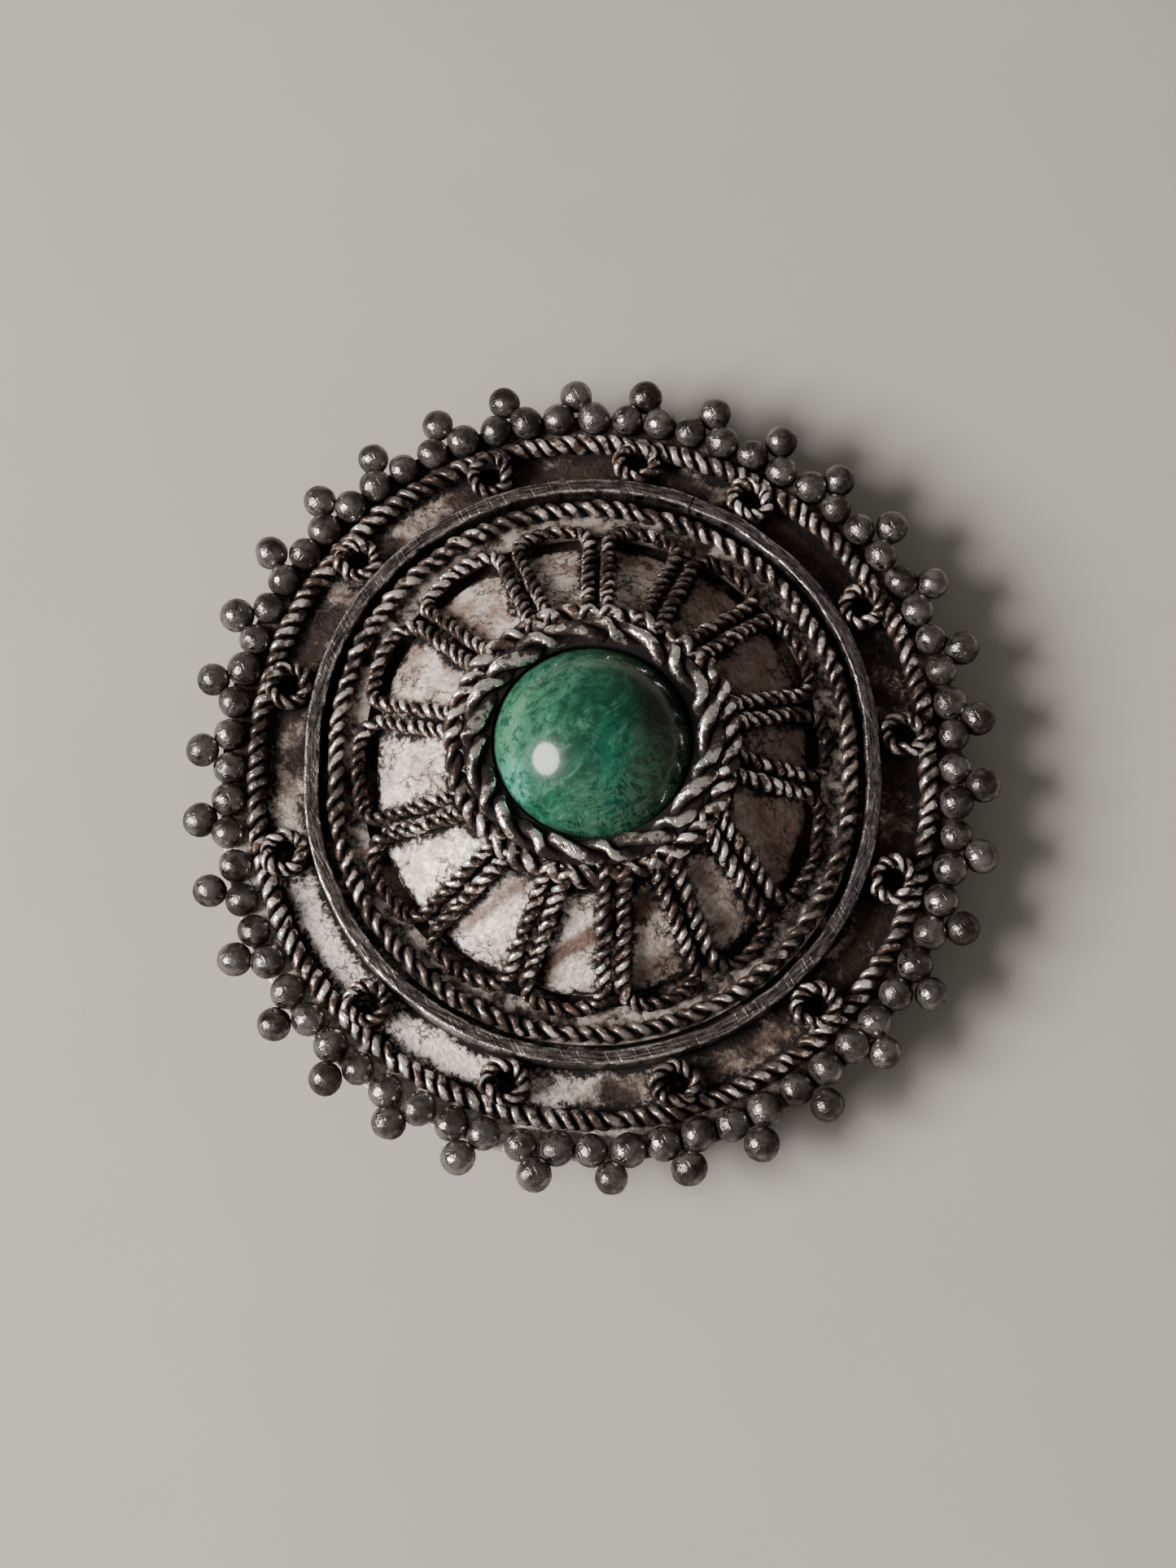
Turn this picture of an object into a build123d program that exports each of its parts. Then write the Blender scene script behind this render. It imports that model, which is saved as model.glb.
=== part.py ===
"""Oval silver brooch with grains, twisted wires, a petalled dome and one round green stone.

Millimetres. +Z is up, out of the front of the brooch. The brooch lies level on its pin fittings,
and the origin is on that surface, under the middle of the stone. Heights named below are over the
top of the back plate, unless they say otherwise.
"""
from build123d import *
from math import cos, degrees, hypot, pi, radians, sin, sqrt
import os

# The oval: every ring but the stone's follows two half circles, set this far along Y from the middle
oval_shift = 1.0

# Plain collar
collar_radius = 15.7
collar_wall = 0.8
collar_height = 1.95
collar_round = 0.12

# Twisted wire round the flat band outside the collar. Soldered wire is let into what carries it
band_width = 2.2
edge_wire = 1.1
wire_bite = 0.05

# Grains round the rim, the outer ones each nested between two inner ones and soldered to both
grain_diameter = 1.86
grain_wire_gap = 0.07
grain_gap = 0.04
grain_bite = 0.083
grain_rise = 0.6

# Back plate, which the inner grains overhang
plate_lip = 0.45
plate_thickness = 0.7

# Small rings of twisted wire on short tubes, leaning on the wire round the band
rosette_wire = 0.82
rosette_radius = 1.38
rosette_clearance = 0.06
rosette_tube_wall = 0.25
rosette_tube_inset = 0.27
rosette_height = 1.3
rosette_angles = (5.8, 31.5, 60.3, 82.0, 108.7, 137.7, 164.8, 196.7, 228.0, 255.1, 283.9, 311.4, 338.1)

# Petal setting: skirt, ledge and the twisted ring on the ledge
setting_clearance = 0.4
seat_gap = 0.05
ledge_height = 1.0
ledge_thickness = 0.45
ledge_lap = 0.1
skirt_wall = 0.6
ring_wire = 1.0

# Domed floor under the petals, from a rim inside their outer ends up into the floor of the cup
dome_rim_gap = 0.7
dome_rim_height = 1.0
dome_camber = 0.55
dome_top_lap = 0.38
dome_wall = 0.6

# Petals: loops of twisted wire on strip walls, with two wires side by side at each spoke
petal_wire = 0.85
petal_wall = 0.3
petal_ring_gap = 0.225
petal_rim_height = 1.45
petal_cup_drop = 0.446
petal_corner = 1.0
petal_bulge = 0.25
petal_bulge_round = 1.5
spoke_gap = 0.19
spoke_bite = 1.0
spokes = (
    # angle at the rim, angle at the cup
    (15.6, 12.6),
    (43.1, 45.6),
    (66.1, 64.7),
    (88.4, 88.2),
    (111.3, 113.2),
    (138.5, 143.6),
    (166.3, 174.0),
    (197.9, 210.8),
    (225.7, 233.5),
    (251.6, 256.8),
    (274.6, 281.1),
    (297.5, 300.2),
    (318.5, 331.7),
    (353.1, 351.3),
)

# Stone
stone_radius = 5.3
stone_rise = 3.4
girdle_height = 0.55
stone_clearance = 0.08

# Cup round the stone, with a twisted wire outside it and a coarser one on its lip
cup_wall = 1.5
cup_floor = 0.5
cup_depth = 0.95
cup_skirt = 1.25
cup_seat_height = 4.55
cup_wire = 1.1
cup_wire_drop = 0.5
crown_wire = 1.3
crown_lift = 0.3

# Pin on the back, with its own heights downwards from the bar
bar_length = 29.0
bar_width = 5.0
bar_thickness = 0.6
foot_length = 3.2
foot_drop = 2.5
foot_round = 0.6
pin_diameter = 1.0
pin_drop = 1.3
pin_tip = 1.6
pin_point = 0.3

# Real heights and radii that several pieces share
bar_top = foot_drop + bar_thickness
plate_bottom = bar_top + seat_gap
plate_top = plate_bottom + plate_thickness
edge_wire_radius = collar_radius + band_width + edge_wire / 2
inner_grain_radius = edge_wire_radius + edge_wire / 2 + grain_wire_gap + grain_diameter / 2
plate_radius = inner_grain_radius + plate_lip
ledge_radius = collar_radius - collar_wall - setting_clearance
ledge_top = plate_top + ledge_height
petal_reach = ledge_radius - ring_wire - petal_ring_gap - petal_wire / 2 - petal_bulge
cup_bore = stone_radius + stone_clearance
cup_radius = cup_bore + cup_wall
cup_seat = plate_top + cup_seat_height
cup_lip = cup_seat + cup_depth
stone_base = cup_seat + seat_gap
petal_rim_top = plate_top + petal_rim_height
petal_slope = (cup_lip - petal_cup_drop - petal_rim_top) / (petal_reach - cup_radius)
spoke_spacing = petal_wire + spoke_gap


def oval_spot(radius, share, reach=0):
    """The place at a share of the way round the oval, moved out by a reach and turned to face outwards."""
    way = (share % 0.5) * (2 * pi * radius + 4 * oval_shift)
    angle = max(way - 2 * oval_shift, 0) / radius
    across = (radius + reach) * cos(angle)
    along = min(way - oval_shift, oval_shift) + (radius + reach) * sin(angle)
    half_turn = 0 if share % 1 < 0.5 else 180
    return Location((0, 0, 0), (0, 0, half_turn)) * Location((across, along, 0), (0, 0, degrees(angle)))


def oval_at(radius, angle):
    """The point of the oval that lies at an angle in degrees, seen from the middle."""
    across = cos(radians(angle))
    along = sin(radians(angle))
    if abs(radius * along) <= oval_shift * abs(across):
        reach = radius / abs(across)
    else:
        reach = oval_shift * abs(along) + sqrt(radius ** 2 - (oval_shift * across) ** 2)
    return reach * across, reach * along


def oval_sweep(section):
    """Carry a section, drawn on the XZ plane at positive X, once round the oval."""
    end_axis = Axis((0, oval_shift, 0), (0, 0, 1))
    with BuildPart() as ring:
        extrude(section, amount=oval_shift, both=True)
        revolve(section.moved(Location((0, oval_shift, 0))), axis=end_axis, revolution_arc=180)
        mirror(about=Plane.YZ)
        mirror(about=Plane.XZ)
    return ring.part


def oval_wire(diameter, radius, height):
    """A round wire that follows the oval."""
    with BuildSketch(Plane.XZ) as section:
        with Locations((radius, height)):
            Circle(diameter / 2)
    return oval_sweep(section.sketch)


def oval_radius(point):
    """The radius of the oval that passes through a point."""
    return hypot(point.X, max(abs(point.Y) - oval_shift, 0))


def petal_height(radius):
    """The height of the middle of the petal wires over the oval of a radius."""
    return petal_rim_top + petal_slope * (petal_reach - radius)


def petal_corners(index):
    """The four corners of one petal and the middle of its outer end, from cup to rim and back."""
    legs = []
    for spoke, side in ((spokes[index], 1), (spokes[(index + 1) % len(spokes)], -1)):
        rim = Vector(*oval_at(petal_reach, spoke[0]))
        cup = Vector(cup_radius - spoke_bite, 0).rotate(Axis.Z, spoke[1])
        aside = (rim - cup).normalized().rotate(Axis.Z, 90) * (side * spoke_spacing / 2)
        legs.append((cup + aside, rim + aside))
    (first_cup, first_rim), (last_cup, last_rim) = legs
    middle = (first_rim + last_rim) * 0.5
    outward = (middle - (first_cup + last_cup) * 0.5).normalized()
    bow = petal_reach + petal_bulge - oval_radius(middle)
    return [first_cup, first_rim, middle + outward * bow, last_rim, last_cup]


# Border frame: plate, grains, edge wire, rosettes and collar, soldered together
edge_ring = oval_wire(edge_wire, edge_wire_radius, plate_top + edge_wire / 2 - wire_bite)

with BuildSketch(Plane.XZ) as collar_section:
    with Locations((collar_radius - collar_wall, plate_top - wire_bite)):
        Rectangle(collar_wall, collar_height + wire_bite, align=Align.MIN)
    fillet(collar_section.vertices().group_by(Axis.Z)[-1], collar_round)
collar_ring = oval_sweep(collar_section.sketch)

# As many inner grains as go round, in pairs. An outer grain stands as far out from the inner row
# as lets it bite into the two grains beside it. The ball's seam is turned to the side where no
# other grain is soldered on
grain_row = 2 * pi * inner_grain_radius + 4 * oval_shift
pair_count = int(grain_row / (2 * (grain_diameter + grain_gap)))
half_step = grain_row / (4 * pair_count)
outer_grain_reach = sqrt((grain_diameter - grain_bite) ** 2 - half_step ** 2)
grain_level = Location((0, 0, plate_top + grain_rise))
grain_spots = []
for grain in range(2 * pair_count):
    spot = oval_spot(inner_grain_radius, (grain + 0.5) / (2 * pair_count))
    grain_spots.append(grain_level * spot * Location((0, 0, 0), (0, 0, 180)))
for pair in range(pair_count):
    spot = oval_spot(inner_grain_radius, pair / pair_count, outer_grain_reach)
    grain_spots.append(grain_level * spot)

rosette_track = collar_radius + rosette_clearance + rosette_radius
rosette_places = [oval_at(rosette_track, angle) for angle in rosette_angles]
rosette_tube_radius = rosette_radius - rosette_tube_inset

with BuildPart() as border_frame:
    with BuildSketch(Plane.XY.offset(plate_bottom)):
        SlotCenterToCenter(2 * oval_shift, 2 * plate_radius, rotation=90)
    extrude(amount=plate_thickness)
    add(edge_ring)
    add(collar_ring)
    with BuildSketch(Plane.XY.offset(plate_top - wire_bite)):
        with Locations(rosette_places):
            Circle(rosette_tube_radius)
            Circle(rosette_tube_radius - rosette_tube_wall, mode=Mode.SUBTRACT)
    extrude(amount=rosette_height + wire_bite)
    with Locations([(x, y, plate_top + rosette_height) for x, y in rosette_places]):
        Torus(rosette_radius - rosette_wire / 2, rosette_wire / 2)
    with Locations(grain_spots):
        Sphere(grain_diameter / 2)

# Petal setting: skirt, ledge, ring wire, petals, domed floor and cup, soldered together
ledge_inside = petal_reach - ledge_lap
with BuildSketch(Plane.XZ) as ledge_section:
    with Locations((ledge_inside, ledge_top - ledge_thickness)):
        Rectangle(ledge_radius - ledge_inside, ledge_thickness, align=Align.MIN)
    with Locations((ledge_radius - ring_wire / 2 - skirt_wall, plate_top + seat_gap)):
        Rectangle(skirt_wall, ledge_height - seat_gap, align=Align.MIN)
ledge_ring = oval_sweep(ledge_section.sketch)
twisted_ring = oval_wire(ring_wire, ledge_radius - ring_wire / 2, ledge_top + ring_wire / 2 - wire_bite)

dome_rim = (petal_reach - petal_wall / 2 - dome_rim_gap, plate_top + dome_rim_height)
dome_crown = (cup_bore - dome_top_lap, cup_seat - cup_floor / 2)


def dome_ends(drop):
    """The rim and the crown of the dome's section, lowered by a drop."""
    return [(x, z - drop) for x, z in (dome_crown, dome_rim)]


with BuildSketch(Plane.XZ) as dome_section:
    with BuildLine():
        upper = SagittaArc(*dome_ends(0), dome_camber)
        lower = SagittaArc(*dome_ends(dome_wall), dome_camber)
        Line(upper @ 0, lower @ 0)
        Line(upper @ 1, lower @ 1)
    make_face()
dome_floor = oval_sweep(dome_section.sketch)

petal_rounds = (petal_corner, petal_bulge_round, petal_corner)
petal_rim = petal_reach + petal_bulge + petal_wire / 2
wall_crown, wall_rim = dome_ends(dome_wall / 2)
with BuildSketch(Plane.XZ) as wall_section:
    with BuildLine():
        SagittaArc(wall_crown, wall_rim, dome_camber)
        Polyline(
            wall_rim,
            (ledge_inside, ledge_top - ledge_thickness / 2),
            (petal_rim, ledge_top - ledge_thickness / 2),
            (petal_rim, petal_height(petal_rim)),
            (wall_crown[0], petal_height(wall_crown[0])),
            wall_crown,
        )
    make_face()
wall_space = oval_sweep(wall_section.sketch)

with BuildPart() as petal_walls:
    for index in range(len(spokes)):
        with BuildSketch(Plane.XY.offset(plate_top)):
            with BuildLine():
                outline = FilletPolyline(*petal_corners(index), radius=petal_rounds)
                Line(outline @ 1, outline @ 0)
            make_face()
            inside = offset(amount=-petal_wall / 2, mode=Mode.PRIVATE)
            offset(amount=petal_wall / 2)
            add(inside, mode=Mode.SUBTRACT)
        extrude(amount=petal_height(wall_crown[0]) - plate_top)
    add(wall_space, mode=Mode.INTERSECT)

with BuildPart() as petal_wires:
    for index in range(len(spokes)):
        corners = [Vector(p.X, p.Y, petal_height(oval_radius(p))) for p in petal_corners(index)]
        cup_middle = (corners[0] + corners[-1]) * 0.5
        across = corners[3] - corners[1]
        inward = cup_middle - (corners[1] + corners[3]) * 0.5
        petal_plane = Plane(origin=cup_middle, x_dir=across, z_dir=across.cross(inward))
        flat = [petal_plane.to_local_coords(corner) for corner in corners]
        with BuildLine(petal_plane) as loop:
            FilletPolyline(*[(corner.X, corner.Y) for corner in flat], radius=petal_rounds)
        with BuildSketch(Plane(origin=loop.line @ 0, z_dir=loop.line % 0)):
            Circle(petal_wire / 2)
        sweep(path=loop.line)

stone_ball = (stone_radius ** 2 + stone_rise ** 2) / (2 * stone_rise)
stone_top = stone_base + girdle_height + stone_rise
stone_middle = stone_top - stone_ball
crown_height = cup_lip + crown_lift
crown_reach = stone_ball + stone_clearance + crown_wire / 2
crown_radius = sqrt(crown_reach ** 2 - (crown_height - stone_middle) ** 2)

with BuildPart() as petal_setting:
    add(dome_floor)
    add(ledge_ring)
    add(petal_walls.part)
    add(twisted_ring)
    add(petal_wires.part)
    with BuildSketch(Plane.XY.offset(cup_seat - cup_skirt)):
        Circle(cup_radius)
    extrude(amount=cup_skirt + cup_depth)
    with BuildSketch(Plane.XY.offset(cup_seat)):
        Circle(cup_bore)
    extrude(amount=cup_depth, mode=Mode.SUBTRACT)
    with BuildSketch(Plane.XY.offset(cup_seat - cup_skirt)):
        Circle(cup_bore)
    extrude(amount=cup_skirt - cup_floor, mode=Mode.SUBTRACT)
    with Locations((0, 0, cup_lip - cup_wire_drop)):
        Torus(cup_radius + cup_wire / 2 - wire_bite, cup_wire / 2)
    with Locations((0, 0, crown_height)):
        Torus(crown_radius, crown_wire / 2)

# Stone: a straight girdle under a round dome
with BuildPart() as eilat_stone:
    with BuildSketch(Plane.XZ):
        with BuildLine():
            Polyline(
                (0, stone_top),
                (0, stone_base),
                (stone_radius, stone_base),
                (stone_radius, stone_base + girdle_height),
            )
            RadiusArc((0, stone_top), (stone_radius, stone_base + girdle_height), stone_ball)
        make_face()
    revolve(axis=Axis.Z)

# Pin: a bar soldered along the back, a foot at each end, and the pin from one foot through the other
foot_place = (bar_length - foot_length) / 2
pin_length = foot_place * 2 + foot_length / 2 + pin_tip
with BuildPart() as pin_back:
    with BuildSketch(Plane.XY.offset(foot_drop)):
        RectangleRounded(bar_length, bar_width, foot_round)
    extrude(amount=bar_thickness)
    with BuildSketch(Plane.XY):
        with Locations((-foot_place, 0), (foot_place, 0)):
            RectangleRounded(foot_length, bar_width, foot_round)
    extrude(amount=foot_drop)
    with BuildSketch(Plane.YZ.offset(-foot_place)):
        with Locations((0, foot_drop - pin_drop)):
            Circle(pin_diameter / 2)
    extrude(amount=pin_length)
    chamfer(pin_back.edges().sort_by(Axis.X)[-1], pin_tip - pin_point, pin_diameter / 2 - pin_point / 2)

border_frame.part.label = "border_frame"
petal_setting.part.label = "petal_setting"
eilat_stone.part.label = "eilat_stone"
pin_back.part.label = "pin_back"

os.makedirs("parts", exist_ok=True)
export_step(border_frame.part, "parts/border_frame.step")
export_step(petal_setting.part, "parts/petal_setting.step")
export_step(eilat_stone.part, "parts/eilat_stone.step")
export_step(pin_back.part, "parts/pin_back.step")
for piece in (border_frame, petal_setting, eilat_stone, pin_back):
    print(piece.part.label, len(piece.part.solids()), "solid", round(piece.part.volume, 2), "mm3")
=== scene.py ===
# %% [markdown]
# # An oval silver brooch with a green stone
#
# The brooch is built up the way a silversmith builds it: a plate, balls of silver round the rim,
# wires twisted from two strands, a plain collar, and a raised dome with petals that carries the
# stone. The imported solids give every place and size. The pieces here are modelled round them,
# because the solids hold plain round wires where the real ones are twisted, and smooth balls where
# the real ones were each melted by hand.

# %% Load the fixed frame
import random
from math import acos, atan2, ceil, cos, degrees, hypot, pi, radians, sin, sqrt, tan

import bmesh
import bpy
import numpy as np
from mathutils import Matrix, Vector, kdtree, noise


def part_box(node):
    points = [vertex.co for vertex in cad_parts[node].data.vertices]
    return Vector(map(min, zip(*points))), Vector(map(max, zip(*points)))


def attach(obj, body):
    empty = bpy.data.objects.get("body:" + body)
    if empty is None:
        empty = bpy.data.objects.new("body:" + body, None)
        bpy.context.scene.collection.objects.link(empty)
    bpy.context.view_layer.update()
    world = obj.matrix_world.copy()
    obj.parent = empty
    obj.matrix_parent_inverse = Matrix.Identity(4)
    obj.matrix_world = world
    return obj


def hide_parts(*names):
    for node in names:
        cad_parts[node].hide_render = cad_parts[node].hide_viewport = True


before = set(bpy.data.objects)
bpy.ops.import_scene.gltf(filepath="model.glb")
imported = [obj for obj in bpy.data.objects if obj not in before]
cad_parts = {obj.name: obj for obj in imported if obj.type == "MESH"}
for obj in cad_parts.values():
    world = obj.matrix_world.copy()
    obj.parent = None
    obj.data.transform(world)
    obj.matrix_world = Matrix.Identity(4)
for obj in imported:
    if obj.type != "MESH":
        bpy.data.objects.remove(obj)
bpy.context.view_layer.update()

# %% [markdown]
# ## Sizes
#
# Everything is in metres here, so a millimetre gets a name. The heights come from the solids'
# boxes. The brooch is a little taller than it is wide: its rings follow an oval made of two half
# circles that are set a millimetre each way from the middle, with short straight sides between
# them. A ring made as a circle becomes such an oval when its two halves are moved apart.

# %% Sizes that the pieces share
mm = 0.001
oval_shift = 1.0 * mm
frame_low, frame_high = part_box("border_frame")
setting_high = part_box("petal_setting")[1]
stone_low, stone_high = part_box("eilat_stone")
seat_gap = 0.05 * mm
solder_bite = 0.05 * mm
plate_thickness = 0.7 * mm
plate_radius = 20.45 * mm
plate_top = frame_low.z + plate_thickness

edge_wire = 1.1 * mm
edge_wire_radius = 18.45 * mm
collar_radius = 15.7 * mm
collar_wall = 0.8 * mm
collar_top = frame_high.z

ledge_radius = setting_high.x
ring_wire = 1.0 * mm
ring_radius = ledge_radius - ring_wire / 2
ledge_top = plate_top + 1.0 * mm

stone_radius = stone_high.x
stone_base = stone_low.z
stone_top = stone_high.z
girdle = 0.55 * mm
stone_rise = stone_top - stone_base - girdle
stone_ball = (stone_radius ** 2 + stone_rise ** 2) / (2 * stone_rise)
stone_middle = stone_top - stone_ball

cup_bore = stone_radius + 0.08 * mm
cup_radius = cup_bore + 1.5 * mm
cup_seat = stone_base - seat_gap
cup_lip = cup_seat + 0.95 * mm
print("plate top at", round(plate_top / mm, 2), "mm")
print("stone from", round(stone_base / mm, 2), "to", round(stone_top / mm, 2), "mm")

# %% [markdown]
# ## Small helpers
#
# Each piece ends as a mesh object at the origin, with its place in its points, smooth shading and
# the body that it rides on. One helper does that for all of them, so that a piece's own cell holds
# only its shape. Another stores a crest value in every point, which says how far hands and cloth
# have rubbed that place and how far it lies out of painted shade: 0 in a hollow, where the black
# stays as patina and also stands for painted shade, and 1 on a crest. The finishes read it. The
# last one joins a piece from many parts, each of which starts in a bmesh of its own.

# %% Finish a piece
def add_object(name, bm, material):
    """Turn a bmesh into an object with a material."""
    mesh = bpy.data.meshes.new(name)
    bm.to_mesh(mesh)
    bm.free()
    mesh.materials.append(material)
    thing = bpy.data.objects.new(name, mesh)
    bpy.context.scene.collection.objects.link(thing)
    return thing


def finish_piece(name, bm, material, node):
    """Turn a bmesh into an object that rides on the brooch and stands for one of its solids."""
    piece = add_object(name, bm, material)
    piece.data.shade_smooth()
    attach(piece, "root")
    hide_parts(node)
    print(name, sum(len(polygon.vertices) - 2 for polygon in piece.data.polygons), "triangles")


def sharpen(bm, angle=35):
    """Keep edges that turn by more than an angle crisp under smooth shading."""
    for edge in bm.edges:
        if len(edge.link_faces) == 2 and edge.calc_face_angle(0) > radians(angle):
            edge.smooth = False
    return bm


def set_crest(bm, lighter):
    """Store in each point its crest value, which a function of the place works out: how far the place is
    rubbed, and how far it lies out of painted shade.
    """
    crest = bm.verts.layers.float.new("crest")
    for vert in bm.verts:
        vert[crest] = lighter(vert.co)
    return bm


def join(parts):
    """One bmesh of all the parts, with their crest values."""
    bm = bmesh.new()
    bm.verts.layers.float.new("crest")
    for part in parts:
        mesh = bpy.data.meshes.new("joining")
        part.to_mesh(mesh)
        part.free()
        bm.from_mesh(mesh)
        bpy.data.meshes.remove(mesh)
    return bm

# %% Spin a profile and stretch it to the oval
def turn_profile(points, steps=180, closed=True):
    """Spin a profile of (radius, height) points round the Z axis into a ring or a bowl."""
    bm = bmesh.new()
    verts = [bm.verts.new((radius, 0, height)) for radius, height in points]
    edges = [bm.edges.new(pair) for pair in zip(verts, verts[1:])]
    if closed:
        edges.append(bm.edges.new((verts[-1], verts[0])))
    bmesh.ops.spin(bm, geom=verts + edges, cent=(0, 0, 0), axis=(0, 0, 1), angle=2 * pi,
                   steps=steps, use_merge=True)
    bmesh.ops.remove_doubles(bm, verts=bm.verts, dist=0.001 * mm)
    bmesh.ops.recalc_face_normals(bm, faces=bm.faces)
    return bm


def stretch_to_oval(bm):
    """Move the two halves of a ring apart along Y. Points on the middle line stay."""
    for vert in bm.verts:
        if abs(vert.co.y) > 0.001 * mm:
            vert.co.y += oval_shift if vert.co.y > 0 else -oval_shift
    return bm


def oval_radius(x, y):
    """The radius of the oval through a point."""
    return hypot(x, max(abs(y) - oval_shift, 0))


def oval_at(radius, angle):
    """The point of the oval at an angle in degrees, seen from the middle."""
    across, along = cos(radians(angle)), sin(radians(angle))
    if abs(radius * along) <= oval_shift * abs(across):
        reach = radius / abs(across)
    else:
        reach = oval_shift * abs(along) + sqrt(radius ** 2 - (oval_shift * across) ** 2)
    return Vector((reach * across, reach * along))


def oval_place(radius, way):
    """The point at a way along the oval, and the direction that its outer side faces."""
    half = pi * radius + 2 * oval_shift
    turn = 1 if way % (2 * half) < half else -1
    rest = way % half
    angle = max(rest - 2 * oval_shift, 0) / radius
    height = min(rest - oval_shift, oval_shift) + radius * sin(angle)
    return turn * Vector((radius * cos(angle), height)), turn * Vector((cos(angle), sin(angle)))


def oval_length(radius):
    """The way once round the oval."""
    return 2 * pi * radius + 4 * oval_shift

# %% [markdown]
# ## Twisted wire
#
# Nearly every line on this brooch is a wire twisted from two thinner ones. A circle that is spun
# about an axis and moved along it at each step makes one helical strand, and two circles on
# opposite sides make the pair. After half a turn the strands have changed places, so that the end
# looks like the start: only half a turn is spun, and the rest are copies of it in a row. Spinning
# the whole length would be far slower. A point's crest value grows with its way out from the
# middle of the wire, and a little with its height, because the tops are what gets rubbed. The noise
# that makes a wire lumpy takes its seed from the clock, unless it is given one.

# %% Twist two strands
noise.seed_set(1)


def half_turn(length, diameter, sides, steps):
    """Half a turn of two strands round each other along X."""
    bm = bmesh.new()
    strand = diameter / 4
    spread = min(sqrt(1 + (pi * strand / length) ** 2), 1.6)
    upright = Matrix.Rotation(pi / 2, 4, "Y")
    for side in (strand, -strand):
        place = Matrix.Translation((0, side, 0)) @ Matrix.Diagonal((1, 1, spread, 1))
        bmesh.ops.create_circle(bm, cap_ends=False, segments=sides, radius=0.98 * strand,
                                matrix=place @ upright)
    bmesh.ops.spin(bm, geom=bm.verts[:] + bm.edges[:], cent=(0, 0, 0), axis=(1, 0, 0), angle=pi,
                   dvec=(length / steps, 0, 0), steps=steps)
    mesh = bpy.data.meshes.new("half turn")
    bm.to_mesh(mesh)
    bm.free()
    return mesh


def straight_twist(length, diameter, turns, sides=10, steps=7, flat=1.0, uneven=0.05, lumps=0.1):
    """A straight twisted wire along X, with a crest value at each point."""
    bm = bmesh.new()
    copies = round(2 * turns)
    mesh = half_turn(length / copies, diameter, sides, steps)
    for copy in range(copies):
        bm.from_mesh(mesh)
        mesh.transform(Matrix.Translation((length / copies, 0, 0)))
    bpy.data.meshes.remove(mesh)
    bmesh.ops.remove_doubles(bm, verts=bm.verts, dist=0.002 * mm)
    bmesh.ops.recalc_face_normals(bm, faces=bm.faces)
    crest = bm.verts.layers.float.new("crest")
    waves = max(round(length / (4.3 * mm)), 1)
    shift = Vector((1000 * length, 700 * length, 300 * length))
    for vert in bm.verts:
        inside = min(vert.co.x, length - vert.co.x, diameter) / diameter
        lump = noise.noise_vector(vert.co / (0.6 * diameter) + shift)
        vert.co += lump * lumps * max(inside, 0) * diameter
        out, height = hypot(vert.co.y, vert.co.z), vert.co.z
        vert[crest] = out / (diameter / 2) * (0.87 + 0.13 * height / (diameter / 2))
        share = 2 * pi * vert.co.x / length
        size = 1 + uneven * (sin(waves * share) + 0.6 * sin((2 * waves + 1) * share))
        vert.co.x += 2 * uneven * length / copies * sin((waves + 2) * share)
        vert.co.y *= size
        vert.co.z *= size * flat
    return bm

# %% Bend a straight piece along a path
def bend(bm, points, sideways, closed):
    """Bend a straight piece along a path. Its Y goes sideways and its Z goes up from the path."""
    path = np.array([tuple(point) for point in points])
    side = np.array([tuple(direction) for direction in sideways])
    if closed:
        path = np.vstack([path, path[:1]])
        side = np.vstack([side, side[:1]])
    run = np.concatenate([[0], np.cumsum(np.linalg.norm(np.diff(path, axis=0), axis=1))])
    ahead = np.gradient(path, run, axis=0)
    if closed:
        ahead[0] = ahead[-1] = ahead[0] + ahead[-1]
    ahead /= np.linalg.norm(ahead, axis=1)[:, None]
    up = np.cross(side, ahead)
    co = np.array([tuple(vert.co) for vert in bm.verts])
    along = co[:, 0] * run[-1] / max(co[:, 0].max(), 1e-9)

    def at(values):
        return np.stack([np.interp(along, run, values[:, axis]) for axis in range(3)], axis=1)

    placed = (at(path) - at(side) * co[:, 1:2] + at(up) * co[:, 2:3]).tolist()
    for vert, place in zip(bm.verts, placed):
        vert.co = place
    if closed:
        bmesh.ops.remove_doubles(bm, verts=bm.verts, dist=0.004 * mm)
    else:
        bmesh.ops.holes_fill(bm, edges=bm.edges, sides=0)
    bmesh.ops.recalc_face_normals(bm, faces=bm.faces)
    return bm

# %% Closed twisted wires
def closed_twist(diameter, length, step, turns, place, **twist):
    """A closed twisted wire. A function gives its point and its outward direction at a share of it."""
    count = max(int(length / step), 24)
    points, sideways = zip(*[place(index / count) for index in range(count)])
    return bend(straight_twist(length, diameter, turns, **twist), points, sideways, closed=True)


def oval_twist(diameter, radius, height, turns, wander, **twist):
    """A closed twisted wire that follows the oval, with a slight wander as bent by hand."""
    length = oval_length(radius)

    def place(share):
        spot, facing = oval_place(radius, share * length)
        around = 2 * pi * share
        shake = wander * (sin(3 * around + 1.0) + 0.6 * sin(7 * around + 2.0) + 0.5 * sin(17 * around))
        spot = spot + facing * shake
        return (spot.x, spot.y, height + shake * sin(5 * around)), (facing.x, facing.y, 0)

    return closed_twist(diameter, length, 0.25 * mm, turns, place, **twist)


def ring_twist(diameter, radius, centre, turns, wander, **twist):
    """A closed twisted wire in a circle round a centre."""
    def place(share):
        around = 2 * pi * share
        facing = Vector((cos(around), sin(around), 0))
        reach = radius + wander * (sin(2 * around + 0.5) + 0.7 * sin(5 * around))
        lift = Vector((0, 0, wander * sin(3 * around + 1.0)))
        return centre + facing * reach + lift, facing

    return closed_twist(diameter, 2 * pi * radius, 0.1 * mm, turns, place, **twist)
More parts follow.
